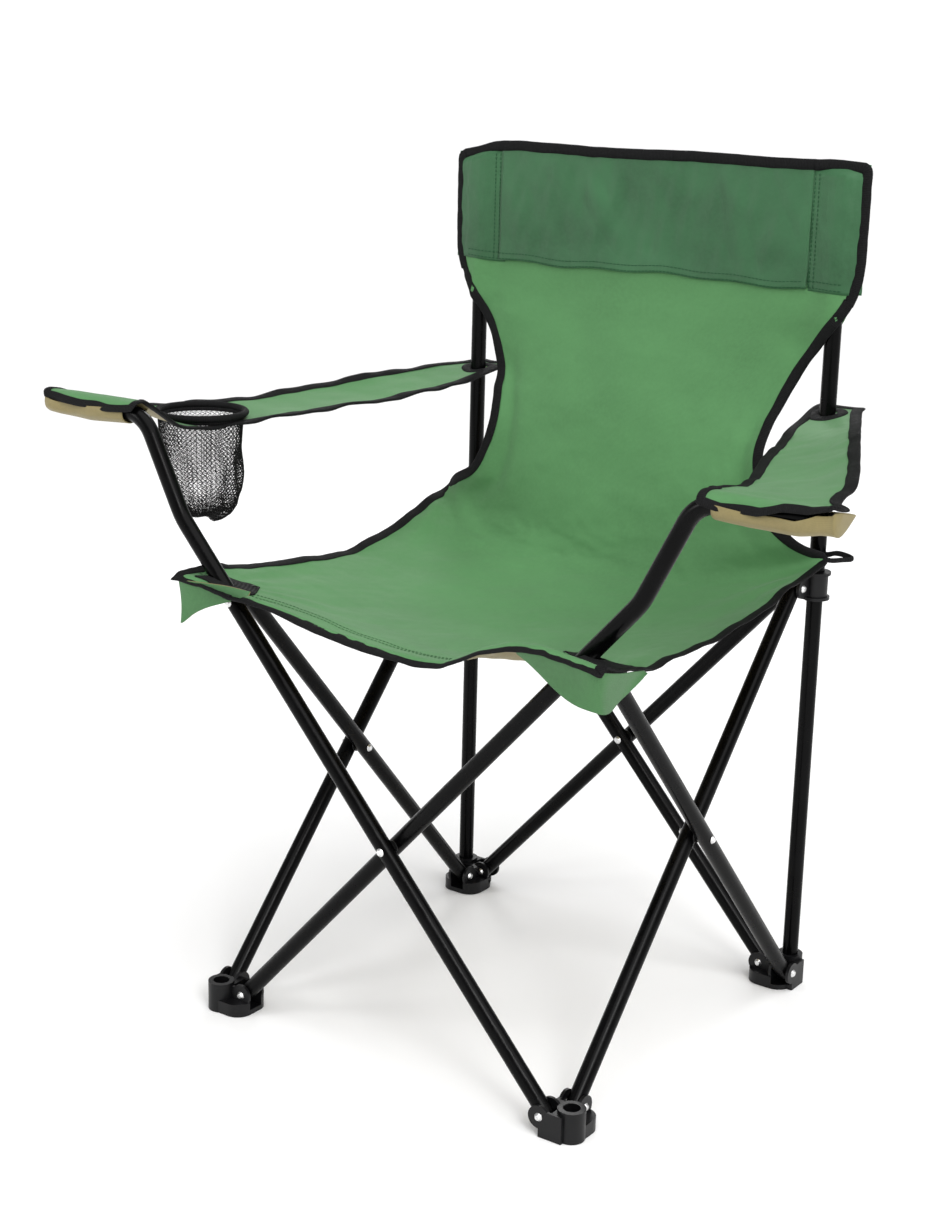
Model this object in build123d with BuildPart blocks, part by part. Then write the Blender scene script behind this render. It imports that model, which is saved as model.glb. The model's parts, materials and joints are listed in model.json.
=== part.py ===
"""Folding camp chair: four scissor crosses of round tube, four plastic feet, two hubs, two
sliders on rear uprights, and a hung seat and back with two armrests and a cup pocket.
X is to the sitter's left-hand side seen from the front, Y points to the rear, Z is up.
All sizes are in millimetres. The origin is on the floor under the middle of the chair."""

import math
import os

from build123d import *

os.makedirs("parts", exist_ok=True)

# ---- driving dimensions -------------------------------------------------------------------
HALF = 205.0  # from the middle to each face of the square frame
INSET = 21.0  # pivots stand this far in from the frame's corners
FOOT_Z = 19.0  # height of the foot pivots
HUB_Z = 426.0  # height of the hub and slider pivots
TUBE_R = 8.0
TUBE_WALL = 1.2
CROSS = 8.75  # each crossing tube stands this far to its side of the frame face
POST_AXIS = 208.5  # uprights and foot sockets, from the middle in X and Y
POST_TOP = 822.0
TUBE_END = 6.0  # tube past its end pivot

PIVOT = HALF - INSET

RIVET_R = 2.5
RIVET_HOLE_R = 2.56
RIVET_HEAD_R = 4.0
RIVET_HEAD = 2.0
GAP = 0.35  # side gap between a tube and what it turns beside

FOOT_TOP = 29.5
FOOT_BASE = 5.0
FOOT_BLOCK = (46.0, 46.0, 16.0)  # plan of the foot's low block and its corner radius
FOOT_BLOCK_TOP = 13.0
FOOT_MID = HALF - 8  # middle of that block in X and Y
FOOT_SOCKET_R = 13.0
SOCKET_R = 12.0
BORE_R = 8.06
CHEEK = 3.0
LOBE_R = 11.0
SLOT_END = 12.5  # slot past the pivot, towards the corner
SLOT_OPEN = 24.0  # slot before the pivot, out through the block's mouth
HEAD_ROOM = 5.0
HUB_PLATE = 4.0
COLLAR = 28.0
FLANGE = 3.0  # thickness of the rims on a slider's ends
SLIDER_ARM = 18.0  # height of the arms on a slider
HUB_ARM = 15.0  # height of the fork and plate of a hub

ELBOW_LOW = (248.0, 497.0)  # arm post, where it steepens, in X and Z
ELBOW_TOP = (296.0, 590.0)  # arm post, where it turns outwards
ARM_TIP = 412.0
ARM_Z = 590.0

CLOTH = 2.0
SEAT_Z = 450.0
SEAT_X = 232.0
SEAT_FRONT = -240.0
SEAT_REAR = 126.0
BACK_FOOT = (132.0, 434.0)  # lower edge of the back, in Y and Z
BACK_HEAD = (195.5, 698.0)  # its upper edge, under the headrest band
BAND_LOW = 700.0
BAND_TOP = 838.0
BAND_X = 232.0
POCKET_R = 8.5
PATCH_MID = 201.0
PATCH_SIZE = 72.0
FLAP_LOW = 404.0
ARM_REST_Z = 598.0
ARM_SAG = 18.0
ARM_REAR = 240.0
SLEEVE_X = 322.0  # the sleeve over an arm post's end starts here
ARM_CLOTH = 3.0
CUP_X = -329.0
CUP_Y = -102.0
CUP_R = 41.0
CUP_TOP = 580.0  # the ring lies in the armrest where it sags
CUP_RIM = 6.0
CUP_DEPTH = 92.0

CORNERS = {
    "front_left": (-1, -1),
    "front_right": (1, -1),
    "rear_left": (-1, 1),
    "rear_right": (1, 1),
}
# side of the frame face on which the tube of that corner stands: 1 outside, -1 inside
FACE_TUBE = {"front_left": -1, "front_right": 1, "rear_left": 1, "rear_right": -1}
SIDE_TUBE = {"front_left": 1, "front_right": -1, "rear_left": -1, "rear_right": 1}


def keep(builder, name):
    """Labels a finished piece and writes it."""
    builder.part.label = name
    export_step(builder.part, f"parts/{name}.step")


def face_y(corner, outside):
    return CORNERS[corner][1] * (HALF + outside * CROSS)


def side_x(corner, outside):
    return CORNERS[corner][0] * (HALF + outside * CROSS)


# ---- cross tubes --------------------------------------------------------------------------


def straight_tube(name, low, high, across):
    """A hollow tube through the pivots low and high, drilled for three rivets along across."""
    start = Vector(*low)
    end = Vector(*high)
    run = (end - start).normalized()
    first = start - run * TUBE_END
    with BuildPart() as tube:
        with BuildSketch(Plane(origin=first, z_dir=run)):
            Circle(TUBE_R)
            Circle(TUBE_R - TUBE_WALL, mode=Mode.SUBTRACT)
        extrude(amount=(end - start).length + 2 * TUBE_END)
        for pivot in (start, (start + end) * 0.5, end):
            with BuildSketch(Plane(origin=pivot, z_dir=across)):
                Circle(RIVET_HOLE_R)
            extrude(amount=2 * TUBE_R, both=True, mode=Mode.SUBTRACT)
    keep(tube, name)


def front_tube(name, side, outside):
    """A front cross tube that goes on above the seat as the arm post of that side."""
    y = -(HALF + outside * CROSS)
    low = Vector(-side * PIVOT, y, FOOT_Z)
    hub = Vector(side * PIVOT, y, HUB_Z)
    run = (hub - low).normalized()
    first = low - run * TUBE_END
    corners = [
        first,
        Vector(side * ELBOW_LOW[0], y, ELBOW_LOW[1]),
        Vector(side * ELBOW_TOP[0], y, ELBOW_TOP[1]),
        Vector(side * ARM_TIP, y, ARM_Z),
    ]
    with BuildPart() as tube:
        with BuildLine() as path:
            FilletPolyline(*corners, radius=[70, 34])
        with BuildSketch(Plane(origin=first, z_dir=run)):
            Circle(TUBE_R)
            Circle(TUBE_R - TUBE_WALL, mode=Mode.SUBTRACT)
        sweep(path=path.wire())
        for pivot in (low, (low + hub) * 0.5, hub):
            with BuildSketch(Plane(origin=pivot, z_dir=(0, 1, 0))):
                Circle(RIVET_HOLE_R)
            extrude(amount=2 * TUBE_R, both=True, mode=Mode.SUBTRACT)
    keep(tube, name)


front_tube("front_tube_to_left_arm", -1, 1)
front_tube("front_tube_to_right_arm", 1, -1)

for side_name, side in (("left", -1), ("right", 1)):
    rear = side_x("rear_" + side_name, SIDE_TUBE["rear_" + side_name])
    front = side_x("front_" + side_name, SIDE_TUBE["front_" + side_name])
    straight_tube(
        f"{side_name}_tube_rear_foot_to_hub", (rear, PIVOT, FOOT_Z), (rear, -PIVOT, HUB_Z), (1, 0, 0)
    )
    straight_tube(
        f"{side_name}_tube_front_foot_to_slider",
        (front, -PIVOT, FOOT_Z),
        (front, PIVOT, HUB_Z),
        (1, 0, 0),
    )

for side_name, side in (("left", -1), ("right", 1)):
    y = face_y("rear_" + side_name, FACE_TUBE["rear_" + side_name])
    straight_tube(
        f"back_tube_from_{side_name}_foot",
        (side * PIVOT, y, FOOT_Z),
        (-side * PIVOT, y, HUB_Z),
        (0, 1, 0),
    )

# ---- rear uprights and tube caps ----------------------------------------------------------

for side_name, side in (("left", -1), ("right", 1)):
    with BuildPart() as upright:
        with BuildSketch(Plane.XY.offset(FOOT_BASE)):
            with Locations((side * POST_AXIS, POST_AXIS)):
                Circle(TUBE_R)
                Circle(TUBE_R - TUBE_WALL, mode=Mode.SUBTRACT)
        extrude(amount=POST_TOP - FOOT_BASE - 2)
    keep(upright, f"upright_{side_name}")


def tube_cap(name, mouth, outwards):
    """A plug with a domed flange in the open end of a tube."""
    with BuildPart() as cap:
        with BuildSketch(Plane(origin=mouth, z_dir=outwards)):
            Circle(TUBE_R)
        extrude(amount=2)
        fillet(cap.faces().sort_by(Axis(mouth, outwards))[-1].edges(), 1.2)
        with BuildSketch(Plane(origin=mouth, z_dir=outwards)):
            Circle(TUBE_R - TUBE_WALL - 0.3)
        extrude(amount=-10)
    keep(cap, name)


for side_name, side in (("left", -1), ("right", 1)):
    top = (side * POST_AXIS, POST_AXIS, POST_TOP - 2)
    tube_cap(f"upright_cap_{side_name}", top, (0, 0, 1))
    tip_y = -(HALF - side * CROSS)
    tube_cap(f"arm_post_cap_{side_name}", (side * (ARM_TIP + 0.1), tip_y, ARM_Z), (side, 0, 0))


# ---- feet, sliders and hubs ---------------------------------------------------------------

ARM_HALF = TUBE_R + GAP + CHEEK


def arm_spot(corner, along_x, level, reach, z):
    """A point on the line of one cross tube's end at a corner, reach past the pivot.
    level is 1 at the feet and -1 at the sliders and hubs, where the tubes change sides."""
    sx, sy = CORNERS[corner]
    if along_x:
        return (sx * (PIVOT + reach), face_y(corner, level * FACE_TUBE[corner]), z)
    return (side_x(corner, level * SIDE_TUBE[corner]), sy * (PIVOT + reach), z)


def along(along_x, length, width, height):
    """Box sizes of something that runs along X or along Y."""
    return (length, width, height) if along_x else (width, length, height)


def across(along_x):
    """Turns a cylinder so that it lies across a tube's end."""
    return (90, 0, 0) if along_x else (0, 90, 0)


def add_arm(corner, along_x, level, pivot_z, low_z, high_z, lobe_r):
    """A block from the pivot to the socket, with a round end about the pivot."""
    reach = POST_AXIS - PIVOT
    with Locations(arm_spot(corner, along_x, level, reach / 2, (low_z + high_z) / 2)):
        Box(*along(along_x, reach, 2 * ARM_HALF, high_z - low_z))
    with Locations(Location(arm_spot(corner, along_x, level, 0, pivot_z), across(along_x))):
        Cylinder(lobe_r, 2 * ARM_HALF)


def cut_arm(corner, along_x, level, pivot_z, low_z, high_z):
    """The slot for the tube's end, the rivet hole and room for the rivet's heads."""
    middle = (SLOT_END - SLOT_OPEN) / 2
    with Locations(arm_spot(corner, along_x, level, middle, (low_z + high_z) / 2)):
        size = along(along_x, SLOT_END + SLOT_OPEN, 2 * (TUBE_R + GAP), high_z - low_z)
        Box(*size, mode=Mode.SUBTRACT)
    spot = Vector(*arm_spot(corner, along_x, level, 0, pivot_z))
    with Locations(Location(spot, across(along_x))):
        Cylinder(RIVET_R + 0.03, 2 * ARM_HALF + 10, mode=Mode.SUBTRACT)
    for side in (-1, 1):
        step = Vector(0, 1, 0) if along_x else Vector(1, 0, 0)
        head = spot + step * (side * (ARM_HALF + HEAD_ROOM / 2))
        with Locations(Location(head, across(along_x))):
            Cylinder(RIVET_HEAD_R + 0.5, HEAD_ROOM, mode=Mode.SUBTRACT)


def socket_place(corner, z):
    sx, sy = CORNERS[corner]
    return (sx * POST_AXIS, sy * POST_AXIS, z)


for corner, (sx, sy) in CORNERS.items():
    with BuildPart() as foot:
        with BuildSketch(Plane.XY):
            with Locations((sx * FOOT_MID, sy * FOOT_MID)):
                RectangleRounded(*FOOT_BLOCK)
        extrude(amount=FOOT_BLOCK_TOP)
        for along_x in (True, False):
            add_arm(corner, along_x, 1, FOOT_Z, 0, FOOT_Z + 7, LOBE_R)
        with Locations(socket_place(corner, FOOT_TOP / 2)):
            Cylinder(FOOT_SOCKET_R, FOOT_TOP)
        for along_x in (True, False):
            cut_arm(corner, along_x, 1, FOOT_Z, FOOT_BASE, 2 * FOOT_TOP)
        with Locations(socket_place(corner, FOOT_BASE + FOOT_TOP / 2)):
            Cylinder(BORE_R, FOOT_TOP, mode=Mode.SUBTRACT)
    keep(foot, f"foot_{corner}")

for corner in ("rear_left", "rear_right"):
    with BuildPart() as slider:
        for along_x in (True, False):
            low, high = HUB_Z - SLIDER_ARM / 2, HUB_Z + SLIDER_ARM / 2
            add_arm(corner, along_x, -1, HUB_Z, low, high, LOBE_R - 1)
        with Locations(socket_place(corner, HUB_Z)):
            Cylinder(SOCKET_R, COLLAR)
        for end in (-1, 1):
            with Locations(socket_place(corner, HUB_Z + end * (COLLAR - FLANGE) / 2)):
                Cylinder(SOCKET_R + 2.5, FLANGE)
        for along_x in (True, False):
            cut_arm(corner, along_x, -1, HUB_Z, HUB_Z - COLLAR, HUB_Z + COLLAR)
        with Locations(socket_place(corner, HUB_Z)):
            Cylinder(BORE_R, 2 * COLLAR, mode=Mode.SUBTRACT)
    keep(slider, f"slider_{corner}")

for corner in ("front_left", "front_right"):
    sx, sy = CORNERS[corner]
    fork_x = side_x(corner, -SIDE_TUBE[corner])
    plate_y = face_y(corner, -FACE_TUBE[corner]) + TUBE_R + GAP + HUB_PLATE / 2
    plate_in = PIVOT - 9
    plate_out = abs(fork_x) - TUBE_R - GAP
    with BuildPart() as hub:
        # fork that holds the side tube's end
        with Locations((fork_x, -(PIVOT + HALF - 3) / 2, HUB_Z)):
            Box(2 * ARM_HALF, HALF - 3 - PIVOT, HUB_ARM)
        with Locations(Location((fork_x, -PIVOT, HUB_Z), (0, 90, 0))):
            Cylinder(9, 2 * ARM_HALF)
        # plate that lies against the front tube
        with Locations((sx * (plate_in + plate_out) / 2, plate_y, HUB_Z)):
            Box(plate_out - plate_in, HUB_PLATE, HUB_ARM)
        with Locations((fork_x, -PIVOT + (SLOT_OPEN - SLOT_END) / 2, HUB_Z)):
            Box(2 * (TUBE_R + GAP), SLOT_END + SLOT_OPEN, COLLAR, mode=Mode.SUBTRACT)
        with Locations(Location((fork_x, -PIVOT, HUB_Z), (0, 90, 0))):
            Cylinder(RIVET_R + 0.03, 2 * ARM_HALF + 10, mode=Mode.SUBTRACT)
        with Locations(Location((sx * PIVOT, plate_y, HUB_Z), (90, 0, 0))):
            Cylinder(RIVET_R + 0.03, 2 * HUB_PLATE, mode=Mode.SUBTRACT)
        # room for the rivets' rolled heads
        tail_y = plate_y + (HUB_PLATE + HEAD_ROOM) / 2
        with Locations(Location((sx * PIVOT, tail_y, HUB_Z), (90, 0, 0))):
            Cylinder(RIVET_HEAD_R, HEAD_ROOM, mode=Mode.SUBTRACT)
        with Locations(Location((fork_x - ARM_HALF - HEAD_ROOM / 2, -PIVOT, HUB_Z), (0, 90, 0))):
            Cylinder(RIVET_HEAD_R, HEAD_ROOM, mode=Mode.SUBTRACT)
    keep(hub, f"hub_{corner}")

# ---- rivets and spacers -------------------------------------------------------------------


def rivet(place, direction, back, front):
    """A rivet through place: its shank reaches back and front along direction, with a domed
    head on the front end and a small rolled head on the back end."""
    axis = Plane(origin=place, z_dir=direction)
    up = (Align.CENTER, Align.CENTER, Align.MIN)
    down = (Align.CENTER, Align.CENTER, Align.MAX)
    with Locations(axis.offset(-back).location):
        Cylinder(RIVET_R, back + front, align=up)
        Cone(RIVET_HEAD_R - 1.8, RIVET_HEAD_R - 1, RIVET_HEAD - 0.4, align=down)
    with Locations(axis.offset(front).location):
        Cone(RIVET_HEAD_R, RIVET_HEAD_R - 1.6, RIVET_HEAD, align=up)


MID_Z = (FOOT_Z + HUB_Z) / 2
HOLD = CROSS + TUBE_R + 0.1
FACES = {
    "front": ((0, -HALF, MID_Z), (0, -1, 0)),
    "back": ((0, HALF, MID_Z), (0, -1, 0)),
    "left": ((-HALF, 0, MID_Z), (1, 0, 0)),
    "right": ((HALF, 0, MID_Z), (1, 0, 0)),
}
for face, (place, direction) in FACES.items():
    with BuildPart() as centre_rivet:
        rivet(place, direction, HOLD, HOLD)
    keep(centre_rivet, f"centre_rivet_{face}")
    with BuildPart() as spacer:
        with BuildSketch(Plane(origin=place, z_dir=direction)):
            Circle(7)
            Circle(RIVET_HOLE_R, mode=Mode.SUBTRACT)
        extrude(amount=0.45, both=True)
    keep(spacer, f"spacer_washer_{face}")

for corner, (sx, sy) in CORNERS.items():
    with BuildPart() as foot_rivets:
        rivet(arm_spot(corner, True, 1, 0, FOOT_Z), (0, -1, 0), ARM_HALF, ARM_HALF)
        rivet(arm_spot(corner, False, 1, 0, FOOT_Z), (1, 0, 0), ARM_HALF, ARM_HALF)
    keep(foot_rivets, f"foot_rivets_{corner}")
    with BuildPart() as top_rivets:
        back = ARM_HALF if sy > 0 else TUBE_R + GAP + HUB_PLATE
        front = ARM_HALF if sy > 0 else TUBE_R + 0.1
        rivet(arm_spot(corner, True, -1, 0, HUB_Z), (0, -1, 0), back, front)
        rivet(arm_spot(corner, False, -1, 0, HUB_Z), (1, 0, 0), ARM_HALF, ARM_HALF)
    keep(top_rivets, f"{'slider' if sy > 0 else 'hub'}_rivets_{corner}")

# ---- hung seat and back -------------------------------------------------------------------

SEAT_MID = (SEAT_FRONT + SEAT_REAR) / 2
SEAT_REACH = (SEAT_REAR - SEAT_FRONT) / 2


def seat_height(x, y):
    """The seat hangs from its corners: both the width and the depth of it sag."""
    forward = (y - SEAT_FRONT) / (2 * SEAT_REACH)
    width_sag = 34 * (0.95 + 1.1 * forward - 1.4 * forward**2)
    over_width = max(0.0, 1 - (x / SEAT_X) ** 2) ** 2
    over_depth = max(0.0, 1 - ((y - SEAT_MID) / SEAT_REACH) ** 2) ** 2
    return SEAT_Z - width_sag * over_width - 18 * over_depth


GRID = 13
seat_points = [
    [
        Vector(x, y, seat_height(x, y))
        for y in [SEAT_MID + SEAT_REACH * 1.02 * (2 * j / (GRID - 1) - 1) for j in range(GRID)]
    ]
    for x in [1.05 * SEAT_X * (2 * i / (GRID - 1) - 1) for i in range(GRID)]
]
with BuildPart() as seat_panel:
    thicken(Face.make_surface_from_array_of_points(seat_points), amount=CLOTH)
    with BuildSketch(Plane.XY.offset(300)):
        with BuildLine():
            Polyline((-222, SEAT_REAR), (-SEAT_X, SEAT_FRONT + 8), (-SEAT_X + 8, SEAT_FRONT))
            Line((-SEAT_X + 8, SEAT_FRONT), (SEAT_X - 8, SEAT_FRONT))
            Polyline((SEAT_X - 8, SEAT_FRONT), (SEAT_X, SEAT_FRONT + 8), (222, SEAT_REAR))
            Line((222, SEAT_REAR), (-222, SEAT_REAR))
        make_face()
    extrude(amount=300, mode=Mode.INTERSECT)
    for corner in ("front_left", "front_right"):
        sx, sy = CORNERS[corner]
        with Locations((sx * (PIVOT + 15), face_y(corner, -FACE_TUBE[corner]), SEAT_Z)):
            Box(44, 20, 100, mode=Mode.SUBTRACT)
keep(seat_panel, "seat_panel")

lean = math.atan2(BACK_HEAD[0] - BACK_FOOT[0], BACK_HEAD[1] - BACK_FOOT[1])
back_length = math.hypot(BACK_HEAD[0] - BACK_FOOT[0], BACK_HEAD[1] - BACK_FOOT[1])
back_plane = Plane(
    origin=(0, BACK_FOOT[0], BACK_FOOT[1]), x_dir=(1, 0, 0), z_dir=(0, -math.cos(lean), math.sin(lean))
)
waist = [(205, 0), (205, 0.17), (168, 0.34), (161, 0.48), (168, 0.63), (186, 0.83), (226, 1)]
with BuildPart() as back_panel:
    with BuildSketch(back_plane):
        with BuildLine():
            right_edge = Spline(*[(x, share * back_length) for x, share in waist])
            left_edge = Spline(*[(-x, share * back_length) for x, share in waist])
            Line(right_edge @ 1, left_edge @ 1)
            Line(left_edge @ 0, right_edge @ 0)
        make_face()
    extrude(amount=CLOTH)
keep(back_panel, "back_panel")

with BuildPart() as band:
    with Locations((0, POST_AXIS - 10, (BAND_LOW + BAND_TOP) / 2)):
        Box(2 * POST_AXIS, 3, BAND_TOP - BAND_LOW)
    for side in (-1, 1):
        with BuildSketch(Plane.XY.offset(BAND_LOW)):
            with Locations((side * POST_AXIS, POST_AXIS)):
                Circle(POCKET_R + 2.5)
        extrude(amount=BAND_TOP - BAND_LOW)
        with Locations((side * (POST_AXIS + BAND_X) / 2, POST_AXIS, (BAND_LOW + BAND_TOP) / 2)):
            Box(BAND_X - POST_AXIS, 3, BAND_TOP - BAND_LOW)
        with BuildSketch(Plane.XY.offset(BAND_LOW - 1)):
            with Locations((side * POST_AXIS, POST_AXIS)):
                Circle(POCKET_R)
        extrude(amount=POST_TOP + 3 - BAND_LOW, mode=Mode.SUBTRACT)
keep(band, "headrest_band")

# ---- pieces that tie the seat to the frame ------------------------------------------------

for corner in ("front_left", "front_right"):
    sx, sy = CORNERS[corner]
    with BuildPart() as patch:
        with BuildSketch(Plane.XY.offset(SEAT_Z + CLOTH + 0.5)):
            with Locations((sx * PATCH_MID, -PATCH_MID)):
                RectangleRounded(PATCH_SIZE, PATCH_SIZE, 8)
            with Locations((sx * (PIVOT + 15), face_y(corner, -FACE_TUBE[corner]))):
                SlotOverall(44, 19, mode=Mode.SUBTRACT)
        extrude(amount=1.5)
    keep(patch, f"corner_patch_{corner[6:]}")
    with BuildPart() as flap:
        reach = (PATCH_MID - PATCH_SIZE / 2, PATCH_MID + PATCH_SIZE / 2 + 2)
        with BuildSketch(Plane.XY.offset(FLAP_LOW)):
            with BuildLine():
                corner_line = Polyline(
                    (sx * reach[0], -reach[1]), (sx * reach[1], -reach[1]), (sx * reach[1], -reach[0])
                )
                offset(corner_line, amount=1, side=Side.BOTH)
            make_face()
        extrude(amount=SEAT_Z - 14 - FLAP_LOW)
    keep(flap, f"corner_flap_{corner[6:]}")

for side_name, side in (("left", -1), ("right", 1)):
    with BuildPart() as loop:
        with BuildSketch(Plane.XY.offset(HUB_Z + COLLAR / 2 + 2)):
            with Locations((side * POST_AXIS, POST_AXIS)):
                Circle(SOCKET_R + 1)
            with Locations((side * POST_AXIS, POST_AXIS - 30)):
                RectangleRounded(16, 56, 3)
            with Locations((side * POST_AXIS, POST_AXIS)):
                Circle(BORE_R + 0.2, mode=Mode.SUBTRACT)
        extrude(amount=3)
    keep(loop, f"seat_strap_{side_name}")

# ---- armrests and cup pocket --------------------------------------------------------------

for side_name, side in (("left", -1), ("right", 1)):
    tip_y = -(HALF - side * CROSS)
    with BuildPart() as armrest:
        with BuildSketch(Plane.YZ):
            with BuildLine():
                middle = ((tip_y + ARM_REAR) / 2, ARM_REST_Z - ARM_SAG)
                low = ThreePointArc((tip_y, ARM_REST_Z), middle, (ARM_REAR, ARM_REST_Z))
                up = Vector(0, ARM_CLOTH)
                high = ThreePointArc(low @ 0 + up, low @ 0.5 + up, low @ 1 + up)
                Line(low @ 0, high @ 0)
                Line(low @ 1, high @ 1)
            make_face()
        extrude(amount=side * (ARM_TIP + 8))
        with BuildSketch(Plane.XY.offset(ARM_REST_Z - 60)):
            with BuildLine():
                Polyline(
                    (side * 187, ARM_REAR),
                    (side * 226, ARM_REAR),
                    (side * 390, -104),
                    (side * 405, tip_y),
                    (side * SLEEVE_X, tip_y),
                    (side * SLEEVE_X, -182),
                    (side * 303, -175),
                    (side * 187, 175),
                    close=True,
                )
            make_face()
        extrude(amount=120, mode=Mode.INTERSECT)
        # sleeve that the arm post's end is pushed into
        with BuildSketch(Plane.YZ.offset(side * SLEEVE_X)):
            with Locations((tip_y, ARM_Z)):
                Circle(POCKET_R + 2.5)
        extrude(amount=side * (ARM_TIP + 8 - SLEEVE_X))
        with BuildSketch(Plane.YZ.offset(side * 300)):
            with Locations((tip_y, ARM_Z)):
                Circle(POCKET_R)
        extrude(amount=side * (ARM_TIP + 4 - 300), mode=Mode.SUBTRACT)
        with Locations((side * POST_AXIS, POST_AXIS, ARM_REST_Z)):
            Cylinder(POCKET_R + 0.3, 40, mode=Mode.SUBTRACT)
        if side < 0:
            with Locations((CUP_X, CUP_Y, ARM_REST_Z)):
                Cylinder(CUP_R + 6.5, 80, mode=Mode.SUBTRACT)
    keep(armrest, f"armrest_{side_name}")
    with BuildPart() as grommet:
        with BuildSketch(Plane.XY.offset(ARM_REST_Z + ARM_CLOTH + 0.5)):
            with Locations((side * POST_AXIS, POST_AXIS)):
                Circle(SOCKET_R + 1.5)
                Circle(BORE_R + 0.2, mode=Mode.SUBTRACT)
        extrude(amount=3)
    keep(grommet, f"arm_grommet_{side_name}")

with BuildPart() as cup_ring:
    with BuildSketch(Plane.XY.offset(CUP_TOP - CUP_RIM)):
        with Locations((CUP_X, CUP_Y)):
            Circle(CUP_R + 6)
            Circle(CUP_R, mode=Mode.SUBTRACT)
    extrude(amount=CUP_RIM)
    fillet(cup_ring.edges().filter_by(GeomType.CIRCLE), 2)
keep(cup_ring, "cup_ring")

with BuildPart() as cup_pocket:
    with BuildSketch(Plane.XY.offset(CUP_TOP - CUP_RIM)):
        with Locations((CUP_X, CUP_Y)):
            Circle(CUP_R + 2)
    extrude(amount=-CUP_DEPTH, taper=3)
    with BuildSketch(Plane.XY.offset(CUP_TOP - CUP_RIM)):
        with Locations((CUP_X, CUP_Y)):
            Circle(CUP_R)
    extrude(amount=2 - CUP_DEPTH, taper=3, mode=Mode.SUBTRACT)
keep(cup_pocket, "cup_pocket")
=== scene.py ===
import json
import math

import bmesh
import bpy
import numpy as np
from mathutils import Matrix, Vector, noise

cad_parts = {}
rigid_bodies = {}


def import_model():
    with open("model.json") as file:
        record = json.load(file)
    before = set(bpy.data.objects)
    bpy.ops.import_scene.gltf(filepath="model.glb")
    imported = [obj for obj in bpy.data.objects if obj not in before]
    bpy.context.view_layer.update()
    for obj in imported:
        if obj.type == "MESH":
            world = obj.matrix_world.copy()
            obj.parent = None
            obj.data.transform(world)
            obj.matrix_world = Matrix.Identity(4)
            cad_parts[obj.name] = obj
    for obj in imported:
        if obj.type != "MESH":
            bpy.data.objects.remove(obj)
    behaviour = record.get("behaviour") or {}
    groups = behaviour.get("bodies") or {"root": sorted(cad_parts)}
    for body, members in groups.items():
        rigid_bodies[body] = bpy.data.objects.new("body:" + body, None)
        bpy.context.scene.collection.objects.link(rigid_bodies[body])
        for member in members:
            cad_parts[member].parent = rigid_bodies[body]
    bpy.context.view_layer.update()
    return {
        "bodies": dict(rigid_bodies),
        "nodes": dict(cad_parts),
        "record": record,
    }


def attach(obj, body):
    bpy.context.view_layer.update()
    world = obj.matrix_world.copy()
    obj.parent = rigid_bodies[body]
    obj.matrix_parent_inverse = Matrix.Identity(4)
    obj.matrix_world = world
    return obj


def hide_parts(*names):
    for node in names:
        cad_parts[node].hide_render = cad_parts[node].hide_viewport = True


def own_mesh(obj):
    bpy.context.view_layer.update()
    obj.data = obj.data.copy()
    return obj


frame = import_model()

MM = 0.001
SCENE = bpy.context.scene

# ---- camera, floor and light --------------------------------------------------------------

VIEW_AZIMUTH = math.radians(35.39)
VIEW_ELEVATION = math.radians(15.30)
VIEW_ROLL = math.radians(1.40)
VIEW_TARGET = Vector((-0.0026, -0.0858, 0.4258))
VIEW_DISTANCE = 1.9562
LENS = 61.75


def make_camera():
    data = bpy.data.cameras.new("camera")
    data.lens = LENS
    data.sensor_width = 36
    camera = bpy.data.objects.new("camera", data)
    SCENE.collection.objects.link(camera)
    back = Vector(
        (
            math.sin(VIEW_AZIMUTH) * math.cos(VIEW_ELEVATION),
            -math.cos(VIEW_AZIMUTH) * math.cos(VIEW_ELEVATION),
            math.sin(VIEW_ELEVATION),
        )
    )
    level = Vector((0, 0, 1)).cross(back).normalized()
    upright = back.cross(level)
    right = math.cos(VIEW_ROLL) * level + math.sin(VIEW_ROLL) * upright
    up = math.cos(VIEW_ROLL) * upright - math.sin(VIEW_ROLL) * level
    turn = Matrix((right, up, back)).transposed().to_4x4()
    camera.matrix_world = Matrix.Translation(VIEW_TARGET + back * VIEW_DISTANCE) @ turn
    SCENE.camera = camera


def area_light(name, place, aim, size, power):
    data = bpy.data.lights.new(name, "AREA")
    data.shape = "DISK"
    data.size = size
    data.energy = power
    lamp = bpy.data.objects.new(name, data)
    lamp.location = place
    lamp.rotation_euler = (Vector(aim) - Vector(place)).to_track_quat("-Z", "Y").to_euler()
    SCENE.collection.objects.link(lamp)


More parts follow.
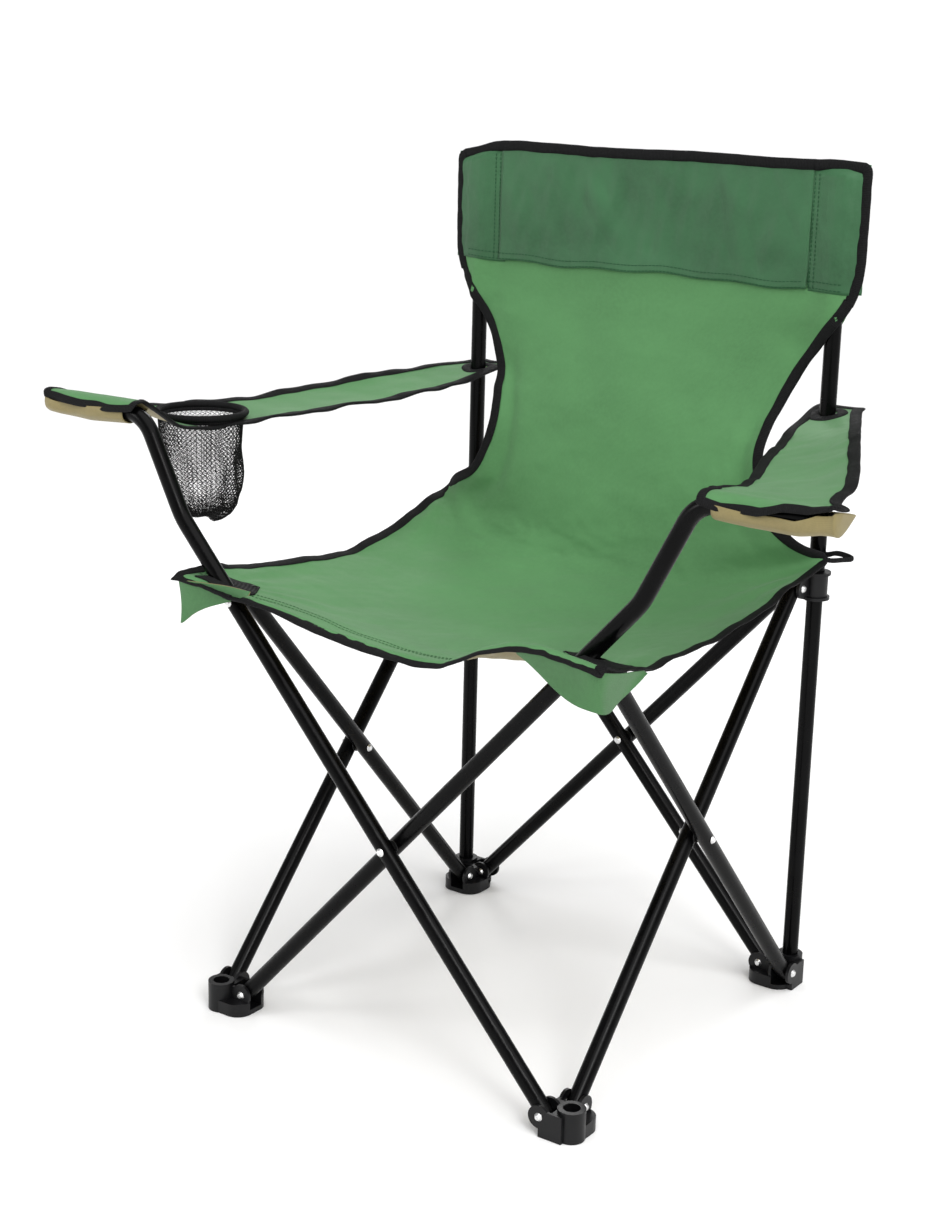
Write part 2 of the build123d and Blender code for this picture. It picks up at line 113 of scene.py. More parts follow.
def make_stage():
    world = bpy.data.worlds.new("studio")
    SCENE.world = world
    world.use_nodes = True
    sky = world.node_tree
    place = sky.nodes.new("ShaderNodeTexCoord")
    height = sky.nodes.new("ShaderNodeSeparateXYZ")
    sky.links.new(place.outputs["Generated"], height.inputs["Vector"])
    bright = sky.nodes.new("ShaderNodeMapRange")
    sky.links.new(height.outputs["Z"], bright.inputs["Value"])
    bright.inputs["From Min"].default_value = 0.06
    bright.inputs["From Max"].default_value = 0.3
    bright.inputs["To Min"].default_value = 1.1
    bright.inputs["To Max"].default_value = 0.42
    sky.links.new(bright.outputs["Result"], sky.nodes["Background"].inputs["Strength"])
    sky.nodes["Background"].inputs["Color"].default_value = (1, 1, 1, 1)
    floor_mesh = bpy.data.meshes.new("floor")
    reach = 400
    floor_mesh.from_pydata(
        [(-reach, -reach, 0), (reach, -reach, 0), (reach, reach, 0), (-reach, reach, 0)],
        [],
        [(0, 1, 2, 3)],
    )
    floor = bpy.data.objects.new("floor", floor_mesh)
    floor.location.z = -0.0005
    SCENE.collection.objects.link(floor)
    paint = bpy.data.materials.new("floor_paint")
    paint.use_nodes = True
    shader = paint.node_tree.nodes["Principled BSDF"]
    shader.inputs["Base Color"].default_value = (0.95, 0.95, 0.95, 1)
    shader.inputs["Roughness"].default_value = 0.9
    shader.inputs["Specular IOR Level"].default_value = 0.1
    floor_mesh.materials.append(paint)
    sun = bpy.data.lights.new("sky_panel", "SUN")
    sun.energy = 2.3
    sun.angle = math.radians(70)
    panel = bpy.data.objects.new("sky_panel", sun)
    panel.rotation_euler = Vector((-0.45, 0.2, -1)).to_track_quat("-Z", "Y").to_euler()
    SCENE.collection.objects.link(panel)
    area_light("key", (2.0, -1.6, 1.9), (0, 0, 0.45), 0.9, 26)
    area_light("fill", (-1.6, -2.0, 1.3), (0, 0, 0.4), 0.8, 14)
    area_light("rim", (-1.4, 2.2, 1.7), (0, 0, 0.6), 0.9, 14)
    SCENE.view_settings.view_transform = "Standard"


# ---- materials ----------------------------------------------------------------------------


def new_material(name):
    material = bpy.data.materials.new(name)
    material.use_nodes = True
    tree = material.node_tree
    return material, tree, tree.nodes["Principled BSDF"]


def node(tree, kind, **values):
    made = tree.nodes.new(kind)
    for key, value in values.items():
        if key in made.inputs:
            made.inputs[key].default_value = value
        else:
            setattr(made, key, value)
    return made


def mix_colours(tree, factor, first, second):
    mixer = node(tree, "ShaderNodeMix", data_type="RGBA")
    for socket, value in (("Factor", factor), ("A", first), ("B", second)):
        index = {"Factor": 0, "A": 6, "B": 7}[socket]
        if isinstance(value, bpy.types.NodeSocket):
            tree.links.new(value, mixer.inputs[index])
        else:
            mixer.inputs[index].default_value = value
    return mixer.outputs[2]


def math_node(tree, operation, first, second=0.0):
    made = node(tree, "ShaderNodeMath", operation=operation)
    for index, value in enumerate((first, second)):
        if isinstance(value, bpy.types.NodeSocket):
            tree.links.new(value, made.inputs[index])
        else:
            made.inputs[index].default_value = value
    return made.outputs[0]


def spread(tree, value, low, high, out_low, out_high):
    """A value from low..high brought to out_low..out_high."""
    made = node(tree, "ShaderNodeMapRange")
    tree.links.new(value, made.inputs["Value"])
    made.inputs["From Min"].default_value = low
    made.inputs["From Max"].default_value = high
    made.inputs["To Min"].default_value = out_low
    made.inputs["To Max"].default_value = out_high
    return made.outputs[0]


def bump(tree, height, strength, distance, under=None):
    made = node(tree, "ShaderNodeBump", Strength=strength, Distance=distance)
    tree.links.new(height, made.inputs["Height"])
    if under is not None:
        tree.links.new(under, made.inputs["Normal"])
    return made.outputs["Normal"]


def tinted(colour, amount):
    return tuple(min(1.0, c * amount) for c in colour) + (1,)


def speckle(tree, place, **values):
    """The value of a noise texture over a place."""
    made = node(tree, "ShaderNodeTexNoise", **values)
    tree.links.new(place, made.inputs["Vector"])
    return made.outputs["Fac"]


def ribs(tree, place, direction, width, **values):
    """Bands of a width in metres across one direction of a place."""
    made = node(tree, "ShaderNodeTexWave", wave_type="BANDS", bands_direction=direction, **values)
    made.inputs["Scale"].default_value = math.pi / (10 * width)
    tree.links.new(place, made.inputs["Vector"])
    return made.outputs["Fac"]


def finish(tree, shader, shade, rough, specular, normal):
    """Joins a material's textures to its shader."""
    tree.links.new(shade, shader.inputs["Base Color"])
    tree.links.new(rough, shader.inputs["Roughness"])
    tree.links.new(normal, shader.inputs["Normal"])
    shader.inputs["Specular IOR Level"].default_value = specular


def woven(name, colour, rough=0.75, sheen=0.25, yarn=0.0011, relief=0.35, blotch=0.10):
    """Plain weave on UVs in metres, with slow colour drift, faint slubs and yarn relief."""
    material, tree, shader = new_material(name)
    place = node(tree, "ShaderNodeUVMap").outputs["UV"]
    loose = {"Distortion": 0.6, "Detail": 1.0, "Detail Scale": 0.4}
    weave = math_node(
        tree, "MAXIMUM", *(ribs(tree, place, direction, yarn, **loose) for direction in "XY")
    )
    drift = speckle(tree, place, Scale=9.0, Detail=3.0, Roughness=0.55)
    slub = speckle(tree, place, Scale=240.0, Detail=2.0, Roughness=0.6)
    mottled = spread(tree, drift, 0.3, 0.7, 0, 1)
    shade = mix_colours(tree, mottled, tinted(colour, 1 - blotch), tinted(colour, 1 + blotch))
    shade = mix_colours(tree, spread(tree, slub, 0.35, 0.75, 0, 0.35), shade, tinted(colour, 1.25))
    shade = mix_colours(tree, spread(tree, weave, 0.3, 1, 0.30, 0), shade, tinted(colour, 0.55))
    worn = spread(tree, weave, 0.2, 1, min(1, rough + 0.12), rough - 0.08)
    coarse = bump(tree, slub, 0.15, 0.0006)
    finish(tree, shader, shade, worn, 0.35, bump(tree, weave, relief, 0.0004, coarse))
    shader.inputs["Sheen Weight"].default_value = sheen
    shader.inputs["Sheen Roughness"].default_value = 0.45
    return material


def tape(name, colour, rib=0.0016, rough=0.8):
    """Ribbed woven tape: ribs across its length, which runs along V of its UVs."""
    material, tree, shader = new_material(name)
    place = node(tree, "ShaderNodeUVMap").outputs["UV"]
    wave = ribs(tree, place, "Y", rib, Distortion=1.2, Detail=2.0)
    lint = spread(tree, speckle(tree, place, Scale=420.0, Detail=3.0), 0.4, 0.8, 0, 1)
    shade = mix_colours(tree, lint, tinted(colour, 0.8), tinted(colour, 2.0))
    worn = spread(tree, wave, 0, 1, rough + 0.1, rough - 0.1)
    finish(tree, shader, shade, worn, 0.2, bump(tree, wave, 0.5, 0.0005))
    return material


def moulded(name, colour, rough, grain=900.0):
    """Moulded plastic with a fine spark-eroded grain and slightly polished patches."""
    material, tree, shader = new_material(name)
    place = node(tree, "ShaderNodeTexCoord").outputs["Object"]
    fine = speckle(tree, place, Scale=grain, Detail=2.0)
    broad = speckle(tree, place, Scale=40.0, Detail=3.0)
    patchy = spread(tree, broad, 0.35, 0.7, 0, 1)
    shade = mix_colours(tree, patchy, tinted(colour, 0.85), tinted(colour, 1.5))
    worn = spread(tree, broad, 0.3, 0.7, rough - 0.07, rough + 0.08)
    finish(tree, shader, shade, worn, 0.25, bump(tree, fine, 0.12, 0.0003))
    return material


def lacquered_tube():
    """Gloss black coating with slight orange peel and a few duller rubs."""
    material, tree, shader = new_material("tube_lacquer")
    place = node(tree, "ShaderNodeTexCoord").outputs["Object"]
    peel = speckle(tree, place, Scale=320.0, Detail=1.0)
    rub = speckle(tree, place, Scale=28.0, Detail=4.0, Roughness=0.7)
    rubbed = spread(tree, rub, 0.45, 0.8, 0, 1)
    shade = mix_colours(tree, rubbed, (0.0008, 0.0008, 0.0009, 1), (0.0022, 0.0022, 0.0025, 1))
    worn = spread(tree, rub, 0.35, 0.75, 0.2, 0.36)
    finish(tree, shader, shade, worn, 0.09, bump(tree, peel, 0.06, 0.0003))
    return material


def zinc():
    """Zinc-plated steel, brushed round and speckled."""
    material, tree, shader = new_material("rivet_zinc")
    place = node(tree, "ShaderNodeTexCoord").outputs["Object"]
    fine = speckle(tree, place, Scale=1500.0, Detail=3.0)
    broad = spread(tree, speckle(tree, place, Scale=260.0, Detail=2.0), 0.3, 0.7, 0, 1)
    shade = mix_colours(tree, broad, (0.62, 0.62, 0.63, 1), (0.86, 0.86, 0.85, 1))
    worn = spread(tree, fine, 0.3, 0.7, 0.22, 0.42)
    finish(tree, shader, shade, worn, 0.5, bump(tree, fine, 0.1, 0.0002))
    shader.inputs["Metallic"].default_value = 1
    return material


GREEN = (0.079, 0.222, 0.080)
GREEN_DARK = (0.029, 0.112, 0.043)
OLIVE = (0.22, 0.18, 0.075)
BLACK = (0.003, 0.003, 0.0034)

make_camera()
make_stage()
MATERIALS = {
    "green": woven("green_polyester", GREEN, sheen=0.1),
    # blotch 0.36 mottles the band strongly: partly its dirt and partly painted sheen standing for
    # light on its folds
    "band": woven("dark_green_double", GREEN_DARK, rough=0.5, sheen=0.12, blotch=0.36),
    # The flaps' green is the seat green darkened to 0.76: painted shade, for the flaps hang in shade
    # under the hem.
    "flap": woven("green_flap_painted_shade", tinted(GREEN, 0.76)[:3], sheen=0.1, blotch=0.2),
    "olive": woven("coated_underside", OLIVE, rough=0.55, sheen=0.05, relief=0.15),
    "tape": tape("black_tape", BLACK),
    "webbing": tape("black_webbing", (0.006, 0.006, 0.0065), rib=0.0024),
    "thread": tape("green_thread", (0.030, 0.10, 0.035), rib=0.0006),
    "dark_thread": tape("dark_thread", (0.016, 0.07, 0.030), rib=0.0006),
    "net": tape("black_net", (0.003, 0.003, 0.003), rib=0.0008, rough=0.6),
    "tube": lacquered_tube(),
    "plastic": moulded("moulded_black", (0.0035, 0.0035, 0.004), 0.4),
    "cap": moulded("cap_black", (0.004, 0.004, 0.0045), 0.45),
    "nylon": moulded("spacer_nylon", (0.012, 0.012, 0.012), 0.45, grain=1500.0),
    "zinc": zinc(),
}
NODE_MATERIAL = {
    "frame_tube": "tube",
    "moulded_plastic": "plastic",
    "cap_plastic": "cap",
    "spacer_nylon": "nylon",
    "rivet_steel": "zinc",
}


def dress_frame():
    """Gives each CAD node that stays in view its own kind of finish."""
    slots = {s["node"]: s["material_slot"] for s in frame["record"]["subparts"]}
    for name, part in frame["nodes"].items():
        material = MATERIALS[NODE_MATERIAL.get(slots[name], "webbing")]
        part.data.materials.clear()
        part.data.materials.append(material)


# ---- mesh helpers -------------------------------------------------------------------------


def mesh_piece(name, points, faces, uvs, materials, smooth=True):
    """An object from points in metres, faces and one UV for each point."""
    mesh = bpy.data.meshes.new(name)
    mesh.from_pydata([tuple(p) for p in points], [], faces)
    layer = mesh.uv_layers.new(name="UVMap")
    for loop in mesh.loops:
        layer.data[loop.index].uv = uvs[loop.vertex_index]
    for key in materials:
        mesh.materials.append(MATERIALS[key])
    for polygon in mesh.polygons:
        polygon.use_smooth = smooth
    piece = bpy.data.objects.new(name, mesh)
    SCENE.collection.objects.link(piece)
    return piece


def grid_piece(name, grid, materials, keep=None, closed=False):
    """A sheet from a rows x columns x 3 array in metres. keep, if given, says which cells stay.
    The UVs are arc lengths along the middle row and column, in metres."""
    rows, columns, _ = grid.shape
    across = np.linalg.norm(np.diff(grid, axis=1), axis=2)
    down = np.linalg.norm(np.diff(grid, axis=0), axis=2)
    u = np.concatenate([[0], np.cumsum(across.mean(axis=0))])
    v = np.concatenate([[0], np.cumsum(down.mean(axis=1))])
    faces = []
    for r in range(rows - 1):
        for c in range(columns if closed else columns - 1):
            if keep is None or keep[r, c]:
                n = (c + 1) % columns
                a, b = r * columns, (r + 1) * columns
                faces.append((a + c, a + n, b + n, b + c))
    uvs = [(u[c], v[r]) for r in range(rows) for c in range(columns)]
    return mesh_piece(name, grid.reshape(-1, 3), faces, uvs, materials)


def tidy_mesh(piece):
    """Deletes points that no face uses."""
    made = bmesh.new()
    made.from_mesh(piece.data)
    loose = [v for v in made.verts if not v.link_faces]
    bmesh.ops.delete(made, geom=loose, context="VERTS")
    made.to_mesh(piece.data)
    made.free()


def thick(piece, amount, under=0):
    """Real thickness for a sheet; under is the material index of its other face."""
    solid = piece.modifiers.new("thickness", "SOLIDIFY")
    solid.thickness = amount
    solid.offset = 0
    solid.material_offset = under
    solid.material_offset_rim = under


def catmull(points, count):
    """count points along a smooth curve through the given rows of values."""
    points = np.asarray(points, float)
    padded = np.vstack([2 * points[0] - points[1], points, 2 * points[-1] - points[-2]])
    made = []
    for t in np.linspace(0, len(points) - 1, count):
        i = min(int(t), len(points) - 2)
        f = t - i
        a, b, c, d = padded[i : i + 4]
        made.append(
            0.5 * (2 * b + (c - a) * f
            + (2 * a - 5 * b + 4 * c - d) * f**2 + (3 * b - a - 3 * c + d) * f**3)
        )
    return np.array(made)


def even(points, count):
    """count evenly spaced points along a polyline."""
    points = np.asarray(points, float)
    lengths = np.concatenate([[0], np.cumsum(np.linalg.norm(np.diff(points, axis=0), axis=1))])
    where = np.linspace(0, lengths[-1], count)
    tracks = range(points.shape[1])
    return np.column_stack([np.interp(where, lengths, points[:, k]) for k in tracks])


def smoothstep(low, high, value):
    t = np.clip((np.asarray(value, float) - low) / (high - low), 0, 1)
    return t * t * (3 - 2 * t)


def bell(value, width):
    return np.exp(-((np.asarray(value, float) / width) ** 2))


def rough_noise(x, y, seed, scale):
    return noise.noise(Vector((x * scale, y * scale, seed * 7.31)))


def belong(piece, body):
    """Puts a piece on the body it rides."""
    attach(piece, body)


# ---- how the cloth follows the fold -------------------------------------------------------

PIVOT = 0.184  # a corner's pivots, from the middle in X and Y
POCKET_INNER = 0.180


def points_of(piece):
    flat = np.empty(len(piece.data.vertices) * 3)
    piece.data.vertices.foreach_get("co", flat)
    return flat.reshape(-1, 3)


def carry(piece, body, weights):
    """Takes part of the body's motion, by each point's weight."""
    group = piece.vertex_groups.new(name=body)
    for index, weight in enumerate(weights):
        if weight > 1e-4:
            group.add([index], float(min(1, weight)), "REPLACE")
    hook = piece.modifiers.new("with_" + body, "HOOK")
    hook.object = frame["bodies"][body]
    hook.vertex_group = group.name
    hook.falloff_type = "NONE"
    hook.matrix_inverse = Matrix.Identity(4)


def gather(piece, pleats=True):
    """Seat and back cloth: it narrows with the uprights, deepens into pleats, and its corners go
    up and back with the hubs and sliders while the middle of the seat hangs."""
    belong(piece, "rear_left_upright")
    x, y, z = points_of(piece).T
    backwards = np.clip((PIVOT - y) / (2 * PIVOT), 0, 1)
    if pleats:
        zigzag = np.abs(((x / 0.072 + 0.5) % 1) - 0.5) * 2
        inside = 1 - smoothstep(0.15, POCKET_INNER, np.abs(x))
        backwards = backwards + 0.2 * zigzag * inside * smoothstep(0.45, 0.6, z)
    corner = np.hypot(np.abs(x) - PIVOT, np.abs(y) - PIVOT)
    upwards = np.clip(1 - corner / 0.26, 0, 1) * (1 - smoothstep(0.48, 0.7, z))
    carry(piece, "front_left_foot", backwards)
    carry(piece, "left_slider", upwards)
    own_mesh(piece)
    return piece


# ---- the sling: seat and back in one ------------------------------------------------------

POST = 208.5  # the uprights' axes, in X and in Y

# Front to top: the middle's Y and Z, the edge's X, Y and Z, and how sharply Y and Z leave the
# middle's on the way out, in mm
SLING = [
    (-227, 416, 238, -239, 448, 2.0, 2.0),
    (-196, 409, 235, -205, 438, 2.0, 2.0),
    (-150, 401, 232, -156, 429, 2.0, 2.0),
    (-90, 395, 230, -100, 428, 2.0, 2.0),
    (-30, 393, 229, -35, 428, 2.0, 2.0),
    (28, 397, 229, 25, 430, 2.0, 2.0),
    (72, 406, 228, 80, 438, 2.0, 2.2),
    (104, 417, 227, 141, 447, 2.6, 2.4),
    (124, 428, 223, 199, 457, 5.0, 3.0),
    (132, 440, 206, 158, 480, 2.6, 2.4),
    (141, 465, 178, 160, 501, 2.0, 2.4),
    (150, 498, 167, 163, 525, 2.0, 2.2),
    (161, 536, 161, 168, 555, 2.0, 2.0),
    (171, 572, 164, 178, 584, 2.0, 2.0),
    (181, 606, 170, 188, 604, 2.0, 2.0),
    (190, 638, 183, 198, 637, 2.0, 2.0),
    (196, 660, 201, 202, 664, 2.0, 2.0),
    (200, 682, 218, 203, 687, 2.0, 2.0),
    (203, 704, 229, 204, 706, 2.0, 2.0),
    (204, 724, 234, 205, 726, 2.0, 2.0),
]
# the left edge is drawn up towards the slider; row: X, Y and Z
SLING_LEFT = {
    1: (237, -207, 448),
    2: (232, -156, 442),
    3: (230, -100, 435),
    7: (227, 140, 457),
    8: (226, 181, 469),
    9: (207, 171, 484),
}
# the front edge's X and height
FRONT_EDGE = (
    (-238, -205, -155, -113, -72, -30, 10, 38, 68, 90, 110, 140, 168, 190, 238),
    (448, 446, 438, 432, 426, 420, 415, 415, 419, 428, 439, 448, 451, 451, 448),
)
SLING_ROWS = 230
SLING_COLUMNS = 151
FRONT_CORNERS = ((-205, -205), (205, -205), (-222, 180), (222, 180))


def sling_grid():
    """The sling's middle surface in metres, front row first, left column first."""
    rows = [row + (SLING_LEFT.get(index, row[2:5])) for index, row in enumerate(SLING)]
    table = even(catmull(rows, 1200) * [1, 1, 1, 1, 1, 12, 12, 1, 1, 1], SLING_ROWS)
    table[:, 5:7] /= 12
    u = np.linspace(-1, 1, SLING_COLUMNS)
    # columns closer together near the edges
    u = np.sign(u) * (1 - (1 - np.abs(u)) ** 1.25)
    grid = np.empty((SLING_ROWS, SLING_COLUMNS, 3))
    for r, (cy, cz, ex, ey, ez, py, pz, lx, ly, lz) in enumerate(table):
        left = u < 0
        ex, ey, ez = np.where(left, lx, ex), np.where(left, ly, ey), np.where(left, lz, ez)
        out = np.abs(u)
        grid[r, :, 0] = ex * u
        grid[r, :, 1] = cy + (ey - cy) * out**py
        grid[r, :, 2] = cz + (ez - cz) * out**pz
        front = 1 - smoothstep(-230, -120, cy)
        hem = np.interp(grid[r, :, 0], *FRONT_EDGE) - 5 * smoothstep(-226, -190, cy)
        near = smoothstep(0.7, 1, out) * smoothstep(-222, -200, cy)
        grid[r, :, 2] += front * (1 - near) * (hem - grid[r, :, 2])
    # the hem turns down along the front
    from_front = np.cumsum(np.linalg.norm(np.diff(grid, axis=0, prepend=grid[:1]), axis=2), axis=0)
    grid[..., 2] -= 4.5 * (1 - smoothstep(0, 9, from_front))
    # the wings lie in front of the uprights
    x, z = grid[..., 0], grid[..., 2]
    grid[..., 1] -= 6.2 * bell(np.abs(x) - POST, 15) * smoothstep(640, 684, z)
    return grid


def normals_of(grid):
    down = np.gradient(grid, axis=0)
    across = np.gradient(grid, axis=1)
    normal = np.cross(across, down)
    return normal / np.maximum(np.linalg.norm(normal, axis=2, keepdims=True), 1e-9)


def ruffle(grid):
    """Creases fanning from the four held corners, slow waves, and a scalloped edge, in mm."""
    normal = normals_of(grid)
    x, y, z = grid[..., 0], grid[..., 1], grid[..., 2]
    lift = np.zeros(x.shape)
    for index, (cx, cy) in enumerate(FRONT_CORNERS):
        reach = np.hypot(x - cx, (y - cy)) + 1e-6
        if index > 1:
            reach = np.hypot(reach, np.maximum(0, z - 470) * 0.6)
        angle = np.arctan2(y - cy, x - cx)
        fan = np.sin(angle * 11 + index * 1.9) * 0.6 + np.sin(angle * 19 + index) * 0.4
        lift += 1.5 * fan * smoothstep(16, 60, reach) * (1 - smoothstep(90, 210, reach))
    rows, columns = x.shape
    slow = np.empty((rows, columns))
    for r in range(rows):
        for c in range(columns):
            px, py, pz = grid[r, c]
            slow[r, c] = (
                3.2 * rough_noise(px, py + pz, 1, 0.011)
                + 1.5 * rough_noise(px * 0.7, py + pz, 2, 0.032)
                + 0.5 * rough_noise(px, py + pz, 3, 0.09)
            )
    lift += slow
    crease = bell(z - 432, 26) * bell(y - 128, 40) * (1 - smoothstep(120, 200, np.abs(x)))
    lift += 1.1 * crease * np.sin((z + y) * 0.16 + 1.6 * slow) * np.sin(x / 23 + slow)
    share = np.abs(np.linspace(-1, 1, columns))
    valley = bell(share - 0.78 - 0.0006 * (z - 530), 0.07) * smoothstep(450, 490, z)
    lift -= 5.0 * valley * (1 - smoothstep(570, 640, z))
    edge = smoothstep(0.72, 1, share)[None, :] * np.ones((rows, 1))
    run = np.cumsum(np.linalg.norm(np.diff(grid[:, -1], axis=0, prepend=grid[:1, -1]), axis=1))
    side_wave = np.where(np.linspace(-1, 1, columns) < 0, 0.9, -0.4)[None, :]
    scallop = np.sin(run[:, None] / 17.0 + side_wave * 4)
    scallop = scallop + 0.6 * np.sin(run[:, None] / 9.0 + side_wave)
    lift += 0.9 * edge * scallop * (1 - smoothstep(640, 700, z))
    front = 1 - smoothstep(-232, -190, y)
    lift += front * (0.9 * np.sin(x / 24.0 + 0.8) + 0.7 * np.sin(x / 12.0)) * (np.abs(x) < 190)
    still = 1 - smoothstep(690, 712, z) * 0.75
    grid = grid + normal * (lift * still)[..., None]
    return grid


def edge_frames(line, inner):
    """Along a boundary: each point, the way into the cloth and the cloth's normal."""
    inward = inner - line
    along = np.gradient(line, axis=0)
    along /= np.maximum(np.linalg.norm(along, axis=1, keepdims=True), 1e-9)
    inward -= along * (inward * along).sum(axis=1, keepdims=True)
    inward /= np.maximum(np.linalg.norm(inward, axis=1, keepdims=True), 1e-9)
    for _ in range(3):
        inward[1:-1] = (inward[:-2] + 2 * inward[1:-1] + inward[2:]) / 4
    inward /= np.maximum(np.linalg.norm(inward, axis=1, keepdims=True), 1e-9)
    return inward, np.cross(along, inward)


def binding(name, line, inner, width=9.0, swell=1.5, waver=0.5, closed=False, material="tape"):
    """Tape folded over an edge. line and inner are the boundary and points just inside, in mm."""
    inward, normal = edge_frames(np.array(line, float), np.array(inner, float))
    widths = np.broadcast_to(width, len(line))
    rows = []
    for index, point in enumerate(line):
        wide = widths[index]
        profile = [
            (wide, 0.75),
            (wide - 0.8, swell * 0.9),
            (wide * 0.5, swell),
            (1.0, swell),
            (-1.3, swell * 0.55),
            (-1.8, 0),
            (-1.3, -swell * 0.55),
            (1.0, -swell),
            (wide * 0.5, -swell),
            (wide - 0.8, -swell * 0.9),
            (wide, -0.75),
        ]
        wander = waver * rough_noise(index, 3.1, 5, 0.09)
        plump = 1 + 0.18 * rough_noise(index, 8.1, 6, 0.13)
        rows.append(
            [
                point + inward[index] * (i * (1 if i < 2 else 1 + 0.1 * wander) + wander)
                + normal[index] * n * plump
                for i, n in profile
            ]
        )
    grid = np.array(rows)
    if closed:
        grid = np.concatenate([grid, grid[:1]])
    return grid_piece(name, grid * MM, [material])


def stitches(name, line, normals, pitch=4.2, length=3.0, radius=0.33, material="thread", lift=0.55):
    """Short raised threads along a line in mm."""
    lengths = np.concatenate([[0], np.cumsum(np.linalg.norm(np.diff(line, axis=0), axis=1))])
    points, faces, uvs = [], [], []
    for number in range(int(lengths[-1] / pitch)):
        start = number * pitch + 0.3 * rough_noise(number, 1.3, 9, 0.7)
        ends = [
            np.array([np.interp(start + step, lengths, line[:, k]) for k in range(3)])
            for step in (0, length)
        ]
        middle = start + length / 2
        normal = np.array([np.interp(middle, lengths, normals[:, k]) for k in range(3)])
        normal /= np.linalg.norm(normal)
        along = ends[1] - ends[0]
        along /= max(np.linalg.norm(along), 1e-9)
        side = np.cross(along, normal)
        base = len(points)
        for share, size, rise in (
            (0, 0.45, -0.25), (0.22, 1, 0.05), (0.78, 1, 0.05), (1, 0.45, -0.25)
        ):
            centre = ends[0] * (1 - share) + ends[1] * share + normal * (lift + rise)
            for k in range(6):
                turn = math.pi * k / 3
                away = math.cos(turn) * side + math.sin(turn) * normal
                points.append(centre + radius * size * away)
                uvs.append((k * 0.0003, share * length * MM))
        for ring in range(3):
            for k in range(6):
                a, n = base + ring * 6, (k + 1) % 6
                faces.append((a + k, a + n, a + 6 + n, a + 6 + k))
        faces.append(tuple(base + k for k in reversed(range(6))))
        faces.append(tuple(base + 18 + k for k in range(6)))
    return mesh_piece(name, np.array(points) * MM, faces, uvs, [material])


ARM_POST_X = 205.5  # where the arm posts come up through the seat
ARM_POST_Y = {"left": -213.75, "right": -196.25}


def make_sling():
    grid = ruffle(sling_grid())
    rows, columns, _ = grid.shape
    facing = normals_of(grid)
    if facing[rows // 4, columns // 2, 2] < 0:
        facing = -facing
    # the arm posts come up through the front corners
    centres = (grid[:-1, :-1] + grid[1:, 1:]) / 2
    keep = np.ones(centres.shape[:2], bool)
    for x, y in ((-ARM_POST_X, ARM_POST_Y["left"]), (ARM_POST_X, ARM_POST_Y["right"])):
        keep &= np.hypot(centres[..., 0] - x, centres[..., 1] - y) > 12
    cloth = grid_piece("sling_cloth", grid * MM, ["green", "olive"], keep=keep)
    tidy_mesh(cloth)
    gather(cloth)
    thick(cloth, 0.0009, under=1)
    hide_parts("seat_panel", "back_panel")

    # one tape, from the left wing round the front to the right wing
    last = int(rows * 0.97)
    outline = np.concatenate([grid[last:0:-1, 0], grid[0, :], grid[1 : last + 1, -1]])
    inside = np.concatenate([grid[last:0:-1, 4], grid[4], grid[1 : last + 1, -5]])
    along = even(np.concatenate([outline, inside], axis=1), 620)
    tape_piece = binding("sling_binding", along[:, :3], along[:, 3:], width=9.0, swell=1.6)
    gather(tape_piece, pleats=False)

    middle = grid[:, columns // 2]
    run = np.cumsum(np.linalg.norm(np.diff(middle, axis=0, prepend=middle[:1]), axis=1))
    for number, distance in enumerate((25, 31)):
        row = int(np.searchsorted(run, distance))
        line = grid[row, 6:-6]
        seam = stitches(f"seat_hem_stitch_{number + 1}", line, facing[row, 6:-6], lift=0.75)
        gather(seam, pleats=False)
    return grid


# ---- headrest band ------------------------------------------------------------------------

BAND_LOW, BAND_TOP = 716, 837


def band_top(x):
    """The band's upper edge, a little lower on the left."""
    top = BAND_TOP - 11 * smoothstep(175, 245, -x) - 2.0 * smoothstep(205, 235, x)
    return top + 0.8 * np.sin(x / 31)


def band_low(x):
    return BAND_LOW + 1.4 * np.sin(x / 38 + 1) + 1.0 * np.sin(x / 13)


def make_band():
    count_z, count_x = 44, 121
    x = np.linspace(-180, 180, count_x)
    share = np.linspace(0, 1, count_z)
    fronts = []
    for face, name in ((-1, "headrest_band_front"), (1, "headrest_band_rear")):
        grid = np.empty((count_z, count_x, 3))
        for r, s in enumerate(share):
            z = band_low(x) + (band_top(x) - band_low(x)) * s
            clear = 2.6 * (1 - smoothstep(0, 0.22, s)) if face < 0 else 0
            belly = face * (1.6 * np.sin(math.pi * s) + 0.9 + clear)
            fold = np.array(
                [
                    4.2 * rough_noise(px * 1.3 + pz * 0.25, pz * 0.35, 11, 0.022)
                    + 2.2 * rough_noise(px * 1.8 - pz * 0.4, pz * 0.45, 12, 0.045)
                    - 5.5 * abs(rough_noise(px * 1.5 + pz * 0.6, pz * 0.5, 13, 0.02))
                    + 1.2
                    for px, pz in zip(x, z)
                ]
            )
            hold = 1 - 0.8 * bell(np.abs(x) - 180, 14)
            grid[r, :, 0] = x
            free = 0.08 + 0.92 * math.sin(math.pi * s) ** 0.7
            grid[r, :, 1] = 204.5 + belly + fold * hold * free
            grid[r, :, 2] = z
        piece = gather(grid_piece(name, grid * MM, ["band"]))
        thick(piece, 0.0008)
        fronts.append((piece, grid))
    front, grid = fronts[0]
    edge, within = (even(grid[row], 200) + [0, 0.9, 0] for row in (-1, -3))
    top = binding("band_binding", edge, within, swell=3.0)
    gather(top)
    facing = np.tile([0.0, -1.0, 0.0], (count_x, 1))
    for number, row in enumerate((0, 2)):
        seam = stitches(
            f"band_seam_stitch_{number + 1}",
            grid[row] + [0, 0, 1.5],
            facing,
            material="dark_thread",
            lift=0.7,
        )
        gather(seam)
    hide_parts("headrest_band")
    for side, name, body in ((-1, "left", "rear_left_upright"), (1, "right", "rear_right_upright")):
        make_pocket(side, name, body)


